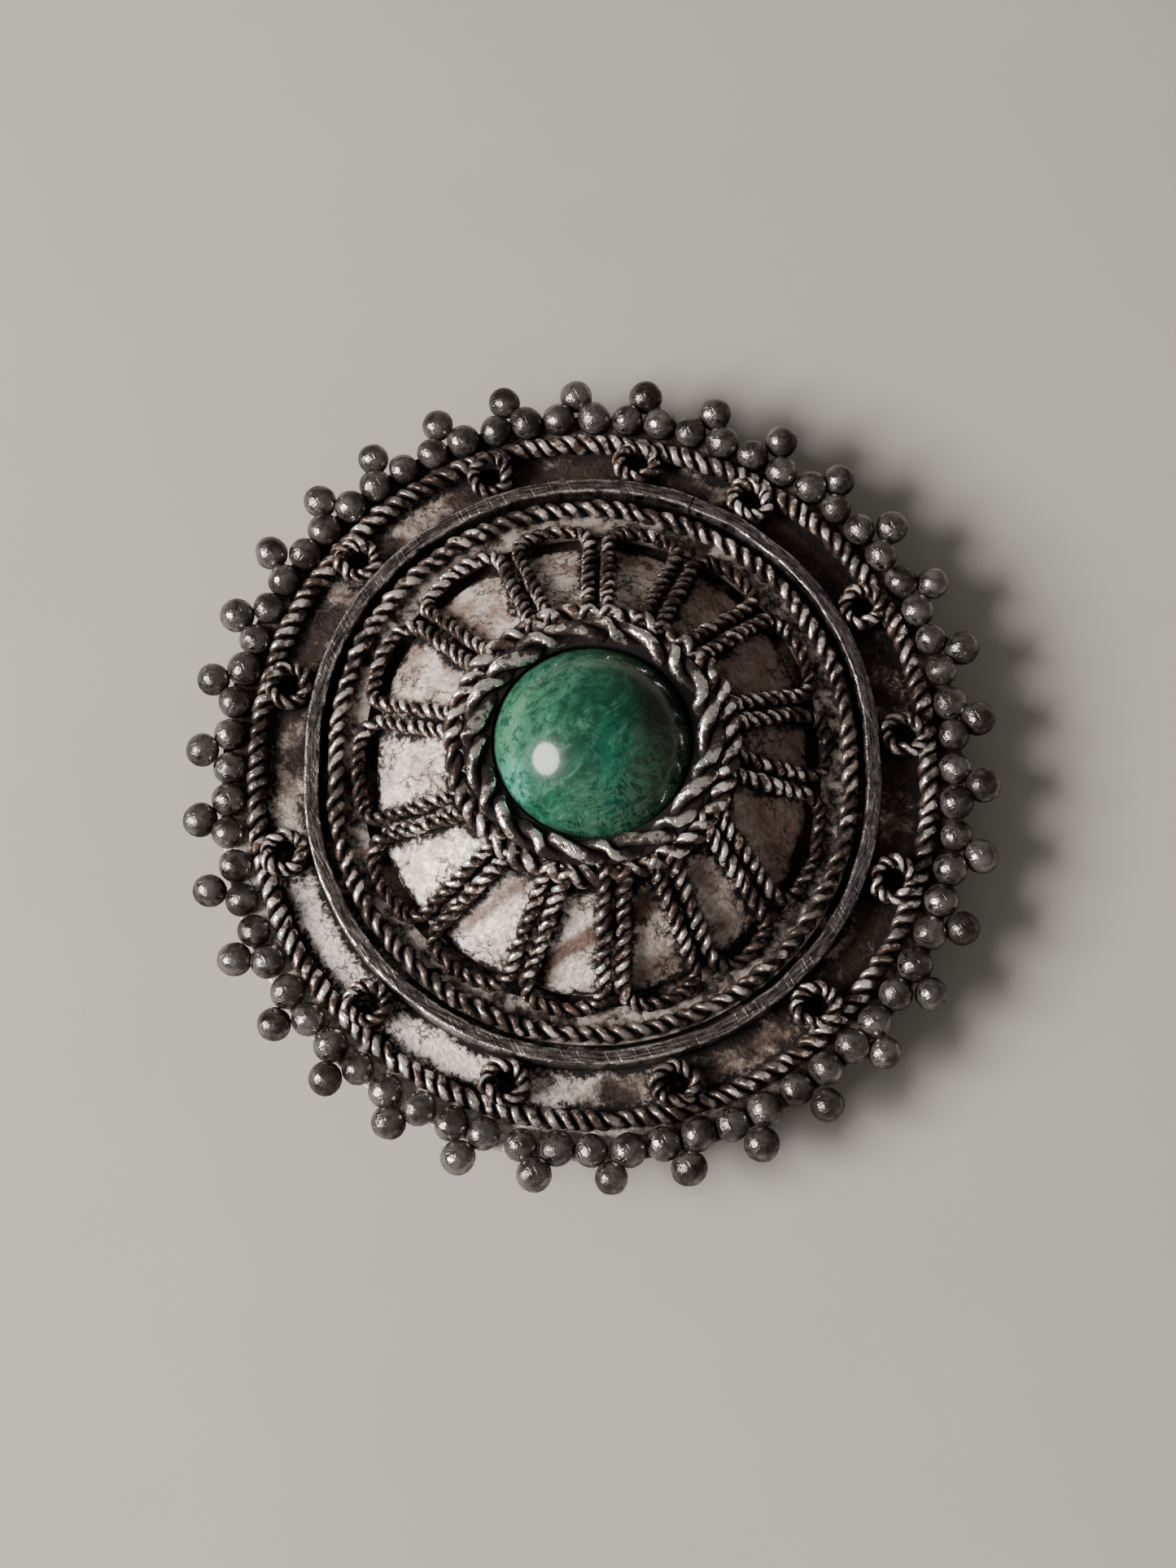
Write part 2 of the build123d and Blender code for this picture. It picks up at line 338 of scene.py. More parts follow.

# %% [markdown]
# ## Finishes
#
# The silver was blackened all over and then rubbed, so it is black in the hollows, brown and grey
# on the flats and bright on the high places. The black in the hollows is patina and painted shade at
# once. The effects that several finishes share are node groups: patches of tarnish, fine scratches,
# cracks, and the step from black to rubbed metal.
# First comes a class that wraps a node's output, so that values can be added and multiplied in
# plain sums, each of which places one math node. Small functions place one other node each.

# %% Signals between nodes
class Signal:
    """The output of a shader node, which adds, subtracts and multiplies like a number."""

    def __init__(self, socket):
        self.socket = socket

    def new_node(self, kind):
        """A new node in the tree that the signal runs in."""
        return self.socket.id_data.nodes.new(kind)

    def math(self, operation, *others, clamp=False):
        """One math node on this signal and other values."""
        node = self.new_node("ShaderNodeMath")
        node.operation = operation
        node.use_clamp = clamp
        for socket, value in zip(node.inputs, (self, *others)):
            put(socket, value)
        return Signal(node.outputs[0])

    def vector(self, operation, other=(0, 0, 0), output="Vector"):
        """One vector math node on this vector and another."""
        node = self.new_node("ShaderNodeVectorMath")
        node.operation = operation
        put(node.inputs[0], self)
        put(node.inputs[1], other)
        return Signal(node.outputs[output])

    def __add__(self, other):
        return self.math("ADD", other)

    def __sub__(self, other):
        return self.math("SUBTRACT", other)

    def __mul__(self, other):
        return self.math("MULTIPLY", other)


def put(socket, value):
    """Set a socket to a number, a colour or a vector, or link a signal to it."""
    if isinstance(value, Signal):
        socket.id_data.links.new(value.socket, socket)
    elif isinstance(value, tuple) and socket.type == "RGBA":
        socket.default_value = (*value, 1)
    else:
        socket.default_value = value


def fill_inputs(node, **values):
    """Set or link a node's named inputs. A low line in a name stands for a space."""
    for label, value in values.items():
        put(node.inputs[label.replace("_", " ")], value)

# %% Node helpers
def noise_node(vector, scale, detail, roughness=0.55, distortion=0.0, output="Fac"):
    """A noise texture on a vector."""
    node = vector.new_node("ShaderNodeTexNoise")
    fill_inputs(node, Vector=vector, Scale=scale, Detail=detail, Roughness=roughness,
                Distortion=distortion)
    return Signal(node.outputs[output])


def ramp_node(value, low, high):
    """A value spread smoothly from 0 at one level to 1 at another."""
    node = value.new_node("ShaderNodeMapRange")
    node.interpolation_type = "SMOOTHSTEP"
    fill_inputs(node, Value=value, From_Min=low, From_Max=high)
    return Signal(node.outputs["Result"])


def turned_node(vector, turn, stretch):
    """A vector for a pattern that runs one way: X lies along the turn, and its parts are stretched."""
    node = vector.new_node("ShaderNodeMapping")
    node.vector_type = "TEXTURE"
    fill_inputs(node, Vector=vector, Rotation=(0, 0, turn), Scale=tuple(1 / part for part in stretch))
    return Signal(node.outputs["Vector"])


def bump_node(height, distance, strength):
    """A normal that makes a height look raised by a distance."""
    node = height.new_node("ShaderNodeBump")
    fill_inputs(node, Height=height, Distance=distance, Strength=strength)
    return Signal(node.outputs["Normal"])


def mix_color(factor, first, second):
    """Mix two colours by a signal. Each is a colour or a signal."""
    node = factor.new_node("ShaderNodeMix")
    node.data_type = "RGBA"
    inputs = {socket.identifier: socket for socket in node.inputs}
    put(inputs["Factor_Float"], factor)
    put(inputs["A_Color"], first)
    put(inputs["B_Color"], second)
    return Signal(next(socket for socket in node.outputs if socket.identifier == "Result_Color"))


def lay_colors(color, layers):
    """Lay colours over a first one in turn, each with its mask and its strength."""
    for mask, strength, tint in layers:
        color = mix_color(mask * strength, color, tint)
    return color

# %% Node groups
def new_group(name, inputs, outputs, work_out):
    """A shader node group. A function works its outputs out from a signal for each input."""
    group = bpy.data.node_groups.new(name, "ShaderNodeTree")
    for label, value in inputs.items():
        kind = "NodeSocketVector" if isinstance(value, tuple) else "NodeSocketFloat"
        group.interface.new_socket(label, in_out="INPUT", socket_type=kind).default_value = value
    for label in outputs:
        group.interface.new_socket(label, in_out="OUTPUT", socket_type="NodeSocketFloat")
    start, end = group.nodes.new("NodeGroupInput"), group.nodes.new("NodeGroupOutput")
    for socket, result in zip(end.inputs, work_out(*[Signal(start.outputs[label]) for label in inputs])):
        put(socket, result)
    return group


def group_node(near, group, **values):
    """Place a node group in a signal's tree with its named inputs. Returns its outputs by name."""
    node = near.new_node("ShaderNodeGroup")
    node.node_tree = group
    fill_inputs(node, **values)
    return {socket.name: Signal(socket) for socket in node.outputs}


def work_tarnish(vector, cloud_scale, speck_scale, seed):
    """Patches of tarnish: large clouds, and small specks that break them up."""
    shifted = vector.vector("ADD", seed)
    return (ramp_node(noise_node(shifted, cloud_scale, 6.0, 0.62, 0.4), 0.36, 0.64),
            ramp_node(noise_node(shifted, speck_scale, 3.0, 0.6), 0.35, 0.7))


def work_scratches(vector):
    """Fine scratches in three directions, 1 where the metal is cut."""
    cuts = []
    for turn, fineness in ((0.5, 9000.0), (-0.9, 7000.0), (1.9, 11000.0)):
        turned = turned_node(vector, turn, (1, 0.04, 0.3))
        cuts.append(ramp_node(noise_node(turned, fineness, 2.0), 0.60, 0.72))
    return [cuts[0].math("MAXIMUM", cuts[1]).math("MAXIMUM", cuts[2])]


def work_cracks(vector, scale):
    """Fine dark cracks: the borders of uneven cells, broken off where a noise is low."""
    shake = noise_node(vector, 1500.0, 4.0, 0.6, output="Color")
    shake = shake.vector("SUBTRACT", (0.5, 0.5, 0.5)).vector("MULTIPLY", (0.0016, 0.0016, 0.0016))
    cells = vector.new_node("ShaderNodeTexVoronoi")
    cells.feature = "DISTANCE_TO_EDGE"
    fill_inputs(cells, Vector=vector.vector("ADD", shake), Scale=scale)
    line = ramp_node(Signal(cells.outputs["Distance"]), 0.10, 0.01)
    return [line * ramp_node(noise_node(vector, 500.0, 4.0, 0.6), 0.46, 0.58)]


def work_rubbing_and_shade(crest, wear, uneven, start, full):
    """How far a place is free of black, from its crest value and some uneven wear. The black is patina and
    painted shade.
    """
    return [ramp_node((wear - 0.5) * uneven + crest, start, full)]


tarnish_group = new_group("tarnish", {"Vector": (0, 0, 0), "Cloud Scale": 300.0, "Speck Scale": 2500.0,
                                      "Seed": 0.0}, ["Clouds", "Specks"], work_tarnish)
scratch_group = new_group("scratches", {"Vector": (0, 0, 0)}, ["Scratches"], work_scratches)
crack_group = new_group("cracks", {"Vector": (0, 0, 0), "Scale": 800.0}, ["Cracks"], work_cracks)
rubbing_and_shade_group = new_group("rubbing", {"Crest": 0.0, "Wear": 0.5, "Uneven": 0.3, "Start": 0.55,
                                      "Full": 0.95}, ["Rubbed"], work_rubbing_and_shade)
print("node groups:", [group.name for group in bpy.data.node_groups])

# %% [markdown]
# ### Silver
#
# One function makes each silver finish from its own values: the colour where it is rubbed bright,
# the colour of the dull film between, and the crest values at which black turns into film and film
# into bright metal. Black silver sulphide isn't a metal to the eye, so the metallic value falls
# with it. Where a finish has more of its own, such as stains that lie on one side, a function adds
# it to the colour.

# %% Silver finishes
silver_black = (0.012, 0.010, 0.010)


def new_material(name):
    """A node material. Returns it with its shader and a signal of its Object coordinates."""
    material = bpy.data.materials.new(name)
    material.use_nodes = True
    nodes = material.node_tree.nodes
    return material, nodes["Principled BSDF"], Signal(nodes.new("ShaderNodeTexCoord").outputs["Object"])


def side_mask(coords, direction, low, high, ragged=0.0):
    """A mask that grows along a direction, from 0 to 1 between two ways in millimetres."""
    way = coords.vector("DOT_PRODUCT", tuple(part / mm for part in direction), "Value")
    if ragged:
        way += noise_node(coords, 350.0, 5.0, 0.6) * ragged
    return ramp_node(way, low + ragged / 2, high + ragged / 2)


def spot_mask(coords, centre, size, ragged=0.6, edge=0.35, scale=420.0):
    """A mask of 1 in a ragged patch round a centre, with sizes in millimetres, and 0 outside."""
    apart = coords.vector("SUBTRACT", tuple(part * mm for part in centre))
    apart = apart.vector("MULTIPLY", tuple(1 / (part * mm) for part in size))
    way = noise_node(coords, scale, 6.0, 0.65) * ragged + apart.vector("LENGTH", output="Value")
    return ramp_node(way, 1 + ragged / 2 + edge, 1 + ragged / 2 - edge)


def silver(name, bright, film, rubbed, rough, clouds, seed, bump, specks=2600.0, shining=None,
           uneven=0.35, cracked=0.0, metal=1.0, more=None):
    """A silver finish. Film shows from the crest values in rubbed on, and bright metal from shining."""
    material, shader, coords = new_material(name)
    crest = coords.new_node("ShaderNodeAttribute")
    crest.attribute_name = "crest"
    tarnish = group_node(coords, tarnish_group, Vector=coords, Cloud_Scale=clouds, Speck_Scale=specks,
                         Seed=seed)
    wear = tarnish["Clouds"] * 0.5 - tarnish["Specks"] * 0.5 + 0.5

    def free_of_black(levels):
        return group_node(coords, rubbing_and_shade_group, Crest=Signal(crest.outputs["Fac"]), Wear=wear,
                          Uneven=uneven, Start=levels[0], Full=levels[1])["Rubbed"]

    shine = free_of_black(shining) if shining else tarnish["Clouds"]
    color = mix_color(shine, film, bright)
    if more:
        color = more(coords, color)
    # Black where the crest value is low: patina, and painted shade in the hollows as well.
    clear = free_of_black(rubbed)
    if cracked:
        clear *= group_node(coords, crack_group, Vector=coords, Scale=cracked)["Cracks"] * -0.85 + 1
    clear *= tarnish["Specks"] * -0.4 + 1
    dull = shine * (rough[0] - rough[1]) + rough[1]
    scratches = group_node(coords, scratch_group, Vector=coords)["Scratches"]
    height = tarnish["Clouds"] * 1.5 - tarnish["Specks"] - scratches * 0.6
    fill_inputs(shader, Base_Color=mix_color(clear, silver_black, color),
                Metallic=clear * (0.8 * metal) + 0.2 * metal, Specular_IOR_Level=0.12,
                Roughness=(clear * -0.25 + 0.25).math("ADD", dull, clamp=True),
                Normal=bump_node(height, bump, 0.6))
    return material


def blacken_stretches(coords, color):
    """Long stretches where more of the black was left."""
    patches = ramp_node(noise_node(coords, 150.0, 5.0, 0.62), 0.46, 0.56)
    return mix_color(patches * 0.75, color, (0.045, 0.028, 0.022))


wire_silver = silver("twisted wire silver", (0.99, 0.91, 0.85), (0.14, 0.088, 0.069), rubbed=(0.54, 0.86),
                     shining=(0.86, 1.06), uneven=0.5, rough=(0.10, 0.33), metal=0.8, clouds=800.0,
                     seed=2.0, bump=0.015 * mm, more=blacken_stretches)
ring_silver = silver("inner ring silver", (0.86, 0.73, 0.66), (0.095, 0.063, 0.052), rubbed=(0.56, 0.88),
                     shining=(0.82, 1.06), uneven=0.55, rough=(0.2, 0.38), metal=0.75, clouds=330.0,
                     seed=3.0, bump=0.015 * mm, more=blacken_stretches)
crown_silver = silver("crown wire silver", (0.97, 0.90, 0.83), (0.095, 0.073, 0.061), rubbed=(0.52, 0.84),
                      shining=(0.82, 1.08), uneven=0.6, rough=(0.09, 0.3), clouds=600.0, seed=4.5,
                      bump=0.03 * mm)
strip_silver = silver("strip silver", (0.60, 0.51, 0.46), (0.065, 0.042, 0.034), rubbed=(0.25, 0.8),
                      uneven=0.8, rough=(0.32, 0.55), metal=0.6, clouds=700.0, seed=7.0, bump=0.02 * mm)
pin_silver = silver("pin silver", (0.62, 0.60, 0.57), (0.40, 0.37, 0.34), rubbed=(-0.6, -0.4),
                    rough=(0.28, 0.42), clouds=260.0, seed=8.0, bump=0.01 * mm)
print("silver finishes made for wires, strips and the pin")

# %% [markdown]
# ## Back plate
#
# The plate is cut from sheet. Its profile is spun round and stretched to the oval. It only shows
# in the band between the collar and the edge wire, so the rows of points are close together there.
# Its surface was never quite flat, so its points are moved a few hundredths of a millimetre. The
# corners along the collar, the wire and the rosettes stay black, as patina and as painted shade, so
# a point's crest value is its way from the nearest of them. Its colour has painted light towards the
# lower left.

# %% Places of the rosettes
rosette_angles = (5.8, 31.5, 60.3, 82.0, 108.7, 137.7, 164.8, 196.7, 228.0, 255.1, 283.9, 311.4, 338.1)
rosette_radius = 1.38 * mm
rosette_wire = 0.86 * mm
rosette_tube = rosette_radius - 0.27 * mm
rosette_wall = 0.25 * mm
rosette_height = plate_top + 1.3 * mm
rosette_track = collar_radius + 0.06 * mm + rosette_radius
rosette_spots = [oval_at(rosette_track, angle) for angle in rosette_angles]
print(len(rosette_spots), "rosettes")

# %% Plate finish
# The direction towards which painted light is laid on the plate and the floor.
lower_left = (-0.62, -0.78, 0)


def plate_light_and_film(coords, color):
    """Black film over most of the band, and painted light at the lower left, where the colour is pale and
    the film thinner.
    """
    # Painted light: paler towards the lower left, where the black film is also thinner.
    light = side_mask(coords, lower_left, 10.0, 18.0)
    film = noise_node(coords, 260.0, 6.0, 0.62) - light * 0.22
    return lay_colors(color, ((light, 0.8, (1.0, 0.91, 0.85)),
                              (ramp_node(film, 0.34, 0.52), 1.0, (0.045, 0.030, 0.025))))


plate_silver = silver("plate silver", (0.60, 0.50, 0.44), (0.17, 0.105, 0.078), rubbed=(0.10, 0.60),
                      uneven=0.7, rough=(0.42, 0.6), metal=0.4, clouds=700.0, specks=3400.0, seed=4.0,
                      bump=0.04 * mm, cracked=1100.0, more=plate_light_and_film)

# %% Plate
def plate_crest(place):
    """The way of a point of the plate from what stands on it, up to 1 for a millimetre."""
    if place.z < plate_top - 0.15 * mm:
        return 0.4
    radius = oval_radius(place.x, place.y)
    ways = [abs(radius - collar_radius), abs(edge_wire_radius - edge_wire / 2 - radius)]
    ways += [max((place.xy - spot).length - rosette_tube, 0) for spot in rosette_spots]
    return min(min(ways) / mm, 1)


def make_plate():
    """The plate, from its middle out over the rim and back underneath."""
    row_step, rim_round = 0.11 * mm, 0.1 * mm
    radii = [0, 8 * mm] + [collar_radius + row_step * row for row in range(-1, 22)] + [19 * mm]
    profile = [(radius, plate_top) for radius in radii]
    profile += [(plate_radius - rim_round, plate_top), (plate_radius, plate_top - rim_round),
                (plate_radius, frame_low.z + rim_round), (plate_radius - rim_round, frame_low.z),
                (0, frame_low.z)]
    bm = stretch_to_oval(turn_profile(profile, steps=360, closed=False))
    for vert in bm.verts:
        if abs(vert.co.z - plate_top) < 0.01 * mm:
            vert.co.z += 0.05 * mm * noise.noise(vert.co / (1.6 * mm)) - 0.02 * mm
    return sharpen(set_crest(bm, plate_crest))


finish_piece("back_plate", make_plate(), plate_silver, "border_frame")

# %% [markdown]
# ## Grains
#
# A grain is a scrap of silver that is melted on charcoal, where it draws itself into a ball. So
# they are nearly round, and no two are the same. Each is a sphere, stretched by a few percent and
# dented by noise, sunk a little into the plate. Outer grains sit in the nook between two inner
# ones. Only their upper halves are rubbed; their lower halves stay black, as patina and as painted
# shade.

# %% Grain finish
grain_radius = 0.93 * mm
inner_grains = 68
inner_grain_radius = 20.0 * mm
outer_grain_reach = 1.4996 * mm
grain_rise = 0.6 * mm
grain_silver = silver("grain silver", (0.29, 0.27, 0.26), (0.07, 0.058, 0.054), rubbed=(-0.05, 0.65),
                      uneven=0.6, rough=(0.10, 0.19), clouds=560.0, specks=2200.0, seed=1.0,
                      bump=0.03 * mm)

# %% Grains
# Patina and painted shade: a grain is black below half its height.
def grain_crest(place):
    """From 0 at half the height of a grain to 1 at its top."""
    return (place.z - plate_top - grain_rise) / grain_radius


def place_grains():
    """The middles of the inner grains, and of the outer ones in the nooks between pairs of them."""
    length = oval_length(inner_grain_radius)
    spots = []
    for index in range(inner_grains):
        spots.append(oval_place(inner_grain_radius, (index + 0.5) / inner_grains * length)[0])
    for pair in range(inner_grains // 2):
        spot, facing = oval_place(inner_grain_radius, 2 * pair / inner_grains * length)
        spots.append(spot + facing * outer_grain_reach)
    return spots


def dent(verts, seed, size):
    """Push the points of a ball in or out by smooth noise, and press one small flat into it."""
    shift = Vector((seed * 3.1, seed * 1.7, seed * 2.3))
    flat = Vector((sin(seed * 2.1), cos(seed * 2.1), 0.8)).normalized()
    for vert in verts:
        bump = noise.noise(vert.co / size * 0.9 + shift) + 0.35 * noise.noise(vert.co / size * 2.4 - shift)
        pressed = max(vert.co.normalized().dot(flat) - 0.86, 0)
        vert.co *= 1 + 0.045 * bump - 0.45 * pressed


def make_grain(number, spot, draw):
    """A grain over a spot of the plate. It draws its own size, turn and place."""
    grain = bmesh.new()
    bmesh.ops.create_uvsphere(grain, u_segments=18, v_segments=11, radius=grain_radius)
    dent(grain.verts, number, grain_radius)
    size = draw.uniform(0.96, 1.05)
    scale = Vector([size * draw.uniform(0.97, 1.03) for axis in range(3)])
    bmesh.ops.scale(grain, vec=scale, verts=grain.verts)
    axis = Vector([draw.uniform(-1, 1) for part in range(3)]).normalized()
    turn = Matrix.Rotation(draw.uniform(0, pi), 3, axis)
    bmesh.ops.rotate(grain, cent=(0, 0, 0), matrix=turn, verts=grain.verts)
    aside = Vector((draw.uniform(-0.07, 0.07), draw.uniform(-0.07, 0.07), draw.uniform(-0.1, 0.05))) * mm
    place = Vector((spot.x, spot.y, plate_top + grain_rise)) + aside
    bmesh.ops.translate(grain, vec=place, verts=grain.verts)
    return set_crest(grain, grain_crest)


grain_draw = random.Random(7)
rim_grains = join(make_grain(number, spot, grain_draw) for number, spot in enumerate(place_grains(), 1))
finish_piece("rim_grains", rim_grains, grain_silver, "border_frame")

# %% [markdown]
# ## Edge wire
#
# A twisted wire lies on the plate just inside the grains. It is the straight pair of strands, bent
# once round the oval.

# %% Edge wire
edge_turns = 72
edge_rope = oval_twist(edge_wire, edge_wire_radius, plate_top + edge_wire / 2 - solder_bite, edge_turns,
                       wander=0.03 * mm)
finish_piece("edge_rope", edge_rope, wire_silver, "border_frame")

# %% [markdown]
# ## Collar
#
# The collar is a strip of thick sheet, bent to the oval, soldered shut and filed flat on top. Its
# profile is spun round and stretched, and its two top edges are bevelled. Its edges are the
# brightest places, because they stand highest. A file ran round its top, so the scratches there
# follow the ring: their noise is read at a place that changes fast with the radius and slowly
# along the ring. The solder seam shows as one thin dark line.

# %% Collar finish
seam_angle = radians(68.5)


def mark_collar(coords, color):
    """File marks that run round the ring, and the seam."""
    flat = coords.vector("MULTIPLY", (1 / mm, 1 / mm, 0))
    rings = flat.vector("LENGTH", output="Value").vector("MULTIPLY", (0, 0, 9))
    around = flat.vector("NORMALIZE").vector("MULTIPLY", (14, 14, 0))
    marks = noise_node(around.vector("ADD", rings), 1.0, 6.0, 0.75)
    across = (-sin(seam_angle) / mm, cos(seam_angle) / mm, 0)
    way = coords.vector("DOT_PRODUCT", across, "Value") - oval_shift / mm * cos(seam_angle)
    seam = ramp_node(way.math("ABSOLUTE"), 0.09, 0.02)
    seam *= side_mask(coords, (cos(seam_angle), sin(seam_angle), 0), 10, 12)
    return lay_colors(color, ((ramp_node(marks, 0.48, 0.60), 0.8, (0.27, 0.23, 0.22)),
                              (ramp_node(marks, 0.49, 0.41), 0.9, (0.025, 0.02, 0.02)),
                              (seam, 1.0, silver_black)))


collar_silver = silver("collar silver", (0.88, 0.85, 0.82), (0.088, 0.073, 0.072), rubbed=(0.1, 0.55),
                       shining=(0.92, 1.2), uneven=0.6, rough=(0.22, 0.38), clouds=260.0, specks=1800.0,
                       seed=6.0, bump=0.03 * mm, more=mark_collar)

# %% Collar
collar_lip = 0.24 * mm
collar_bevel = 0.13 * mm
nick_angle = -10.9
nick_width = 1.6
nick_depth = 0.16 * mm
nearly_same = 0.02 * mm


def collar_crest(place):
    """Full on the two top edges, middling on the flat between them, and falling down the walls."""
    if place.z < collar_top - 0.16 * mm:
        return 0.55 * (place.z - plate_top) / (collar_top - plate_top)
    radius = oval_radius(place.x, place.y)
    edge_way = min(collar_radius - radius, radius - collar_radius + collar_wall)
    return 1.0 if edge_way < 0.14 * mm else 0.62


def dent_collar(vert):
    """Knock a point near the collar's top about, and take a nick out of its edge at the right."""
    turn = atan2(vert.co.y, vert.co.x)
    around = Vector((cos(turn), sin(turn), 0))
    vert.co += around * (0.07 * mm * noise.noise(around * 9) + 0.02 * mm * noise.noise(around * 40))
    vert.co.z += 0.06 * mm * noise.noise(around * 14) + 0.02 * mm * noise.noise(around * 50) - 0.03 * mm
    vert.co.z -= nick_depth * max(1 - abs(degrees(turn) - nick_angle) / nick_width, 0)


def make_collar():
    """The collar, with its two top edges bevelled."""
    inner, outer = collar_radius - collar_wall, collar_radius
    levels = [plate_top - solder_bite, plate_top + 0.6 * mm, plate_top + 1.3 * mm]
    profile = [(inner, level) for level in levels]
    profile += [(radius, collar_top) for radius in (inner, inner + collar_lip, outer - collar_lip, outer)]
    profile += [(outer, level) for level in reversed(levels)]
    bm = turn_profile(profile, steps=360)
    edges = [edge for edge in bm.edges if all(abs(v.co.z - collar_top) < 0.01 * mm for v in edge.verts)]
    reaches = [{round(v.co.xy.length / nearly_same) for v in edge.verts} for edge in edges]
    corners = {round(inner / nearly_same), round(outer / nearly_same)}
    sharp = [edge for edge, reach in zip(edges, reaches) if len(reach) == 1 and reach <= corners]
    bmesh.ops.bevel(bm, geom=sharp, offset=collar_bevel, offset_type="OFFSET", affect="EDGES",
                    segments=3, profile=0.5, material=-1)
    set_crest(stretch_to_oval(bm), collar_crest)
    for vert in bm.verts:
        if vert.co.z > plate_top + 1 * mm:
            dent_collar(vert)
    return sharpen(bm, 50)


finish_piece("collar", make_collar(), collar_silver, "border_frame")

# %% [markdown]
# ## Rosettes
#
# Thirteen little rings of twisted wire stand on short tubes of thin strip. They were set by eye, so
# their angles are a short table, and each leans a little its own way. Some were closed after five
# turns of the twist and some after four and a half.

# %% Rosettes
def make_rosette_rope(index, spot, draw):
    """The ring of one rosette, turned and tilted a little."""
    centre = Vector((spot.x, spot.y, rosette_height))
    rope = ring_twist(0.9 * rosette_wire, rosette_radius - 0.44 * rosette_wire, centre,
                      5 if index % 3 else 4.5, wander=0.05 * mm, sides=10, steps=8)
    lean = [Matrix.Rotation(radians(draw.uniform(-7, 7)), 3, axis) for axis in "XY"]
    spin = Matrix.Rotation(draw.uniform(0, 2 * pi), 3, "Z")
    bmesh.ops.rotate(rope, cent=centre, matrix=lean[0] @ lean[1] @ spin, verts=rope.verts)
    return rope


def make_rosette_tube(spot):
    """The tube of strip under one ring."""
    inner, foot = rosette_tube - rosette_wall, plate_top - solder_bite
    tube = turn_profile([(inner, foot), (inner, rosette_height), (rosette_tube, rosette_height),
                         (rosette_tube, foot)], steps=32)
    set_crest(tube, lambda place: 0.9 * (place.z - plate_top) / (rosette_height - plate_top))
    bmesh.ops.translate(sharpen(tube), vec=(spot.x, spot.y, 0), verts=tube.verts)
    return tube


lean_draw = random.Random(3)
rosette_ropes = join(make_rosette_rope(index, spot, lean_draw) for index, spot in enumerate(rosette_spots))
rosette_tubes = join(make_rosette_tube(spot) for spot in rosette_spots)
finish_piece("rosette_ropes", rosette_ropes, wire_silver, "border_frame")
finish_piece("rosette_tubes", rosette_tubes, strip_silver, "border_frame")

# %% [markdown]
# ## Ledge and ring wire
#
# Inside the collar a ledge carries a second twisted ring. A dark gap stays open between this ring
# and the collar.

# %% Ledge and ring wire
ledge_width = 2.0 * mm
ledge_thickness = 0.45 * mm
skirt_wall = 0.6 * mm


def make_ledge():
    """The ledge with its skirt, which stands just over the plate."""
    inner, under = ledge_radius - ledge_width, ledge_top - ledge_thickness
    skirt, foot = ledge_radius - ring_wire / 2, plate_top + seat_gap
    bm = turn_profile([(inner, under), (inner, ledge_top), (ledge_radius, ledge_top),
                       (ledge_radius, under), (skirt, under), (skirt, foot),
                       (skirt - skirt_wall, foot), (skirt - skirt_wall, under)])
    return sharpen(set_crest(stretch_to_oval(bm), lambda place: 0.6))


finish_piece("setting_ledge", make_ledge(), strip_silver, "petal_setting")
ring_turns = 48.5
ring_rope = oval_twist(ring_wire, ring_radius, ledge_top + ring_wire / 2 - solder_bite, ring_turns,
                       wander=0.04 * mm)
finish_piece("ring_rope", ring_rope, ring_silver, "petal_setting")

# %% [markdown]
# ## Petal paths
#
# Each petal is a loop of strip stood on edge, with a twisted wire along its top. It starts at the
# cup, runs out along one spoke, turns along the rim and comes back along the next spoke. The
# spokes were set by eye too, so each has its own angle at the rim and at the cup. The paths come
# before the floor, because the floor's black follows them.

# %% Petal sizes
spokes = (
    # angle at the rim, angle at the cup
    (15.6, 12.6),
    (43.1, 45.6),
    (66.1, 64.7),
    (88.4, 88.2),
    (111.3, 113.2),
    (138.5, 143.6),
    (166.3, 174.0),
    (197.9, 210.8),
    (225.7, 233.5),
    (251.6, 256.8),
    (274.6, 281.1),
    (297.5, 300.2),
    (318.5, 331.7),
    (353.1, 351.3),
)
petal_wire = 0.85 * mm
petal_lay = 1.5 * mm
petal_wall = 0.3 * mm
petal_reach = 12.6 * mm
petal_bow = 0.25 * mm
petal_rim_height = plate_top + 1.45 * mm
petal_slope = 0.63
petal_rounds = (1.0 * mm, 1.5 * mm, 1.0 * mm)
spoke_half_gap = 0.52 * mm
spoke_start = cup_radius - 1.0 * mm
spoke_trim = 1.1 * mm
arc_step = 0.12 * mm
straight_step = 3 * arc_step

# %% Petal corners
def petal_height(x, y):
    """The height of the middle of the petal wires over a point."""
    return petal_rim_height + petal_slope * (petal_reach - oval_radius(x, y))


def petal_corners(index):
    """The corners of a petal and the middle of its outer end, from cup to rim and back."""
    legs = []
    for spoke, side in ((spokes[index], 1), (spokes[(index + 1) % len(spokes)], -1)):
        rim = oval_at(petal_reach, spoke[0])
        cup = Matrix.Rotation(radians(spoke[1]), 2) @ Vector((spoke_start, 0))
        aside = (rim - cup).orthogonal().normalized() * side * spoke_half_gap
        legs.append((cup + aside, rim + aside))
    (first_cup, first_rim), (last_cup, last_rim) = legs
    middle = (first_rim + last_rim) / 2
    outward = (middle - (first_cup + last_cup) / 2).normalized()
    bow = petal_reach + petal_bow - oval_radius(*middle)
    for foot, rim in legs:
        foot += (rim - foot).normalized() * spoke_trim
    return [first_cup, first_rim, middle + outward * bow, last_rim, last_cup]

# %% [markdown]
# The strip was bent round pliers, so the corners are round. Each corner's arc touches the straight
# runs on both sides of it, and points are then filled in so that none lie far apart.

